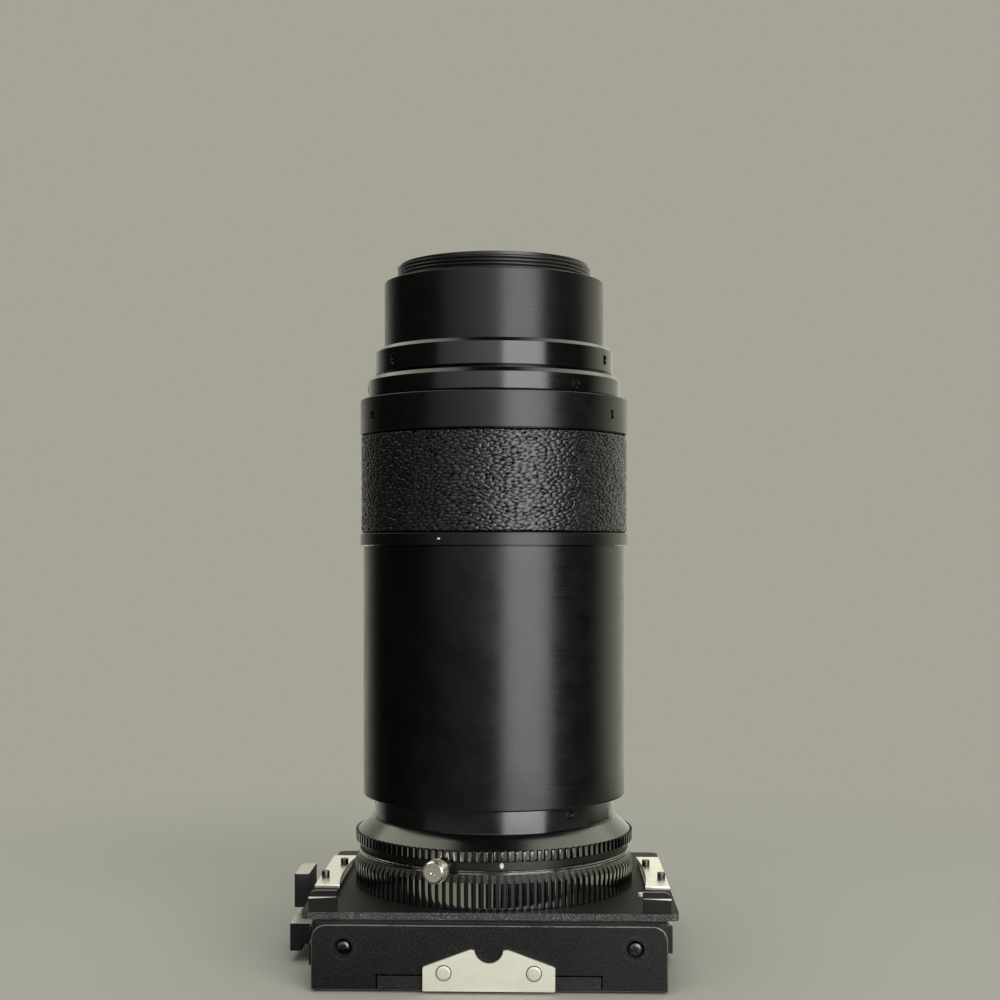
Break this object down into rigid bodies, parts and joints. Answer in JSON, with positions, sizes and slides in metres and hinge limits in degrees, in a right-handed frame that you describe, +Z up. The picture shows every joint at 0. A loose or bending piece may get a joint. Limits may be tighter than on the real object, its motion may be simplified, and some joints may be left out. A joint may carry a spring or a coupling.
{
  "type": "zoom slide duplicator",
  "caption": "Zoom slide duplicator: camera tube with male thread, zoom ring with leatherette grip, and a turning slide stage with film gate and opal diffuser drawer.",
  "frame": {"origin": "point where the optical axis meets the resting face of the stage", "axes": "+Z up along the optical axis towards the camera thread, -Y towards the front with the finger plate, X along the slide slot"},
  "size_m": [0.0807, 0.0721, 0.1485],
  "materials": {
    "stage_housing": "black crackle paint",
    "front_cover": "black crackle paint",
    "rear_cover": "black crackle paint",
    "head_tray": "black crackle paint",
    "barrel_foot": "black satin anodised",
    "head_ring": "black satin anodised",
    "zoom_ring": "black satin anodised",
    "barrel_sleeve": "black satin anodised",
    "end_collar": "black satin anodised",
    "stop_collar": "black satin anodised",
    "camera_tube": "black satin anodised",
    "camera_thread": "black satin anodised",
    "inner_barrel": "black satin anodised",
    "cam_tube": "black satin anodised",
    "lens_carriage": "black satin anodised",
    "lens_cell": "black satin anodised",
    "retaining_ring": "black satin anodised",
    "shoe_left": "black satin paint",
    "shoe_right": "black satin paint",
    "gate_base": "black satin anodised",
    "gate_cover": "black satin anodised",
    "gate_rails": "black satin anodised",
    "drawer_frame": "black satin anodised",
    "lower_baffle": "matte black",
    "camera_baffle": "matte black",
    "stop_plate": "matte black",
    "lower_retainer": "matte black",
    "upper_retainer": "matte black",
    "lower_spacer": "matte black",
    "upper_spacer": "matte black",
    "shoe_plate_left": "bright",
    "shoe_plate_right": "bright",
    "finger_plate": "bright",
    "gate_springs": "bright",
    "lock_knob": "polished",
    "index_ring": "polished",
    "stop_pin": "polished",
    "drawer_rivets": "polished",
    "gate_rivets": "polished",
    "cover_screws": "blackened",
    "shoe_screws": "blackened",
    "neck_screws": "blackened",
    "end_collar_screws": "blackened",
    "stop_collar_screws": "blackened",
    "zoom_ring_screws": "blackened",
    "head_screws": "blackened",
    "lens_carriage_pins": "plain",
    "camera_tube_pins": "plain",
    "grip_sleeve": "pebbled black leatherette",
    "front_glass": "coated",
    "middle_glass": "coated",
    "flint_glass": "coated",
    "crown_glass": "coated",
    "opal_diffuser": "opal white"
  },
  "bodies": {
    "stage": {"stage_housing": "stage_housing", "front_cover": "front_cover", "rear_cover": "rear_cover", "cover_screws": "cover_screws", "shoe_left": "shoe_left", "shoe_right": "shoe_right", "shoe_plate_left": "shoe_plate_left", "shoe_plate_right": "shoe_plate_right", "shoe_screws": "shoe_screws"},
    "head": {"head_tray": "head_tray", "head_ring": "head_ring", "index_ring": "index_ring", "head_screws": "head_screws", "stop_pin": "stop_pin"},
    "lock_screw": {"lock_knob": "lock_knob"},
    "barrel": {"barrel_foot": "barrel_foot", "retaining_ring": "retaining_ring", "neck_screws": "neck_screws", "inner_barrel": "inner_barrel", "barrel_sleeve": "barrel_sleeve", "lower_baffle": "lower_baffle", "end_collar": "end_collar", "end_collar_screws": "end_collar_screws"},
    "zoom": {"zoom_ring": "zoom_ring", "cam_tube": "cam_tube", "grip_sleeve": "grip_sleeve", "zoom_ring_screws": "zoom_ring_screws"},
    "lens": {"lens_carriage": "lens_carriage", "lens_carriage_pins": "lens_carriage_pins", "lens_cell": "lens_cell", "lower_retainer": "lower_retainer", "front_glass": "front_glass", "lower_spacer": "lower_spacer", "middle_glass": "middle_glass", "stop_plate": "stop_plate", "upper_spacer": "upper_spacer", "flint_glass": "flint_glass", "crown_glass": "crown_glass", "upper_retainer": "upper_retainer"},
    "camera_slide": {"camera_tube": "camera_tube", "camera_tube_pins": "camera_tube_pins", "camera_baffle": "camera_baffle", "stop_collar": "stop_collar", "stop_collar_screws": "stop_collar_screws", "camera_thread": "camera_thread"},
    "gate": {"gate_base": "gate_base", "gate_cover": "gate_cover", "gate_rails": "gate_rails", "gate_springs": "gate_springs", "gate_rivets": "gate_rivets"},
    "drawer": {"drawer_frame": "drawer_frame", "opal_diffuser": "opal_diffuser", "finger_plate": "finger_plate", "drawer_rivets": "drawer_rivets"}
  },
  "joints": [
    {"name": "head_shift", "type": "slide", "parent": "stage", "child": "head", "axis": [0, 1, 0], "range_m": [-0.003, 0.003]},
    {"name": "lock_screw_turn", "type": "hinge", "parent": "head", "child": "lock_screw", "pos_m": [0, 0, 0.02315], "axis": [-0.319, -0.9478, 0], "range_deg": [0, 360]},
    {"name": "head_turn", "type": "hinge", "parent": "head", "child": "barrel", "pos_m": [0, 0, 0.02], "axis": [0, 0, 1], "continuous": true},
    {"name": "zoom_turn", "type": "hinge", "parent": "barrel", "child": "zoom", "pos_m": [0, 0, 0.1], "axis": [0, 0, 1], "range_deg": [0, 86]},
    {"name": "lens_slide", "type": "slide", "parent": "barrel", "child": "lens", "axis": [0, 0, 1], "range_m": [-0.01, 0]},
    {"name": "camera_slide_up", "type": "slide", "parent": "barrel", "child": "camera_slide", "axis": [0, 0, 1], "range_m": [0, 0.012]},
    {"name": "gate_shift", "type": "slide", "parent": "stage", "child": "gate", "axis": [1, 0, 0], "range_m": [-0.0002, 0.0014]},
    {"name": "drawer_pull", "type": "slide", "parent": "stage", "child": "drawer", "axis": [0, -1, 0], "range_m": [0, 0.04]}
  ],
  "couplings": [
    {"joint": "zoom_turn", "follows": "camera_slide_up", "rad_per_m": 125.08},
    {"joint": "lens_slide", "follows": "camera_slide_up", "ratio": -0.8333}
  ]
}
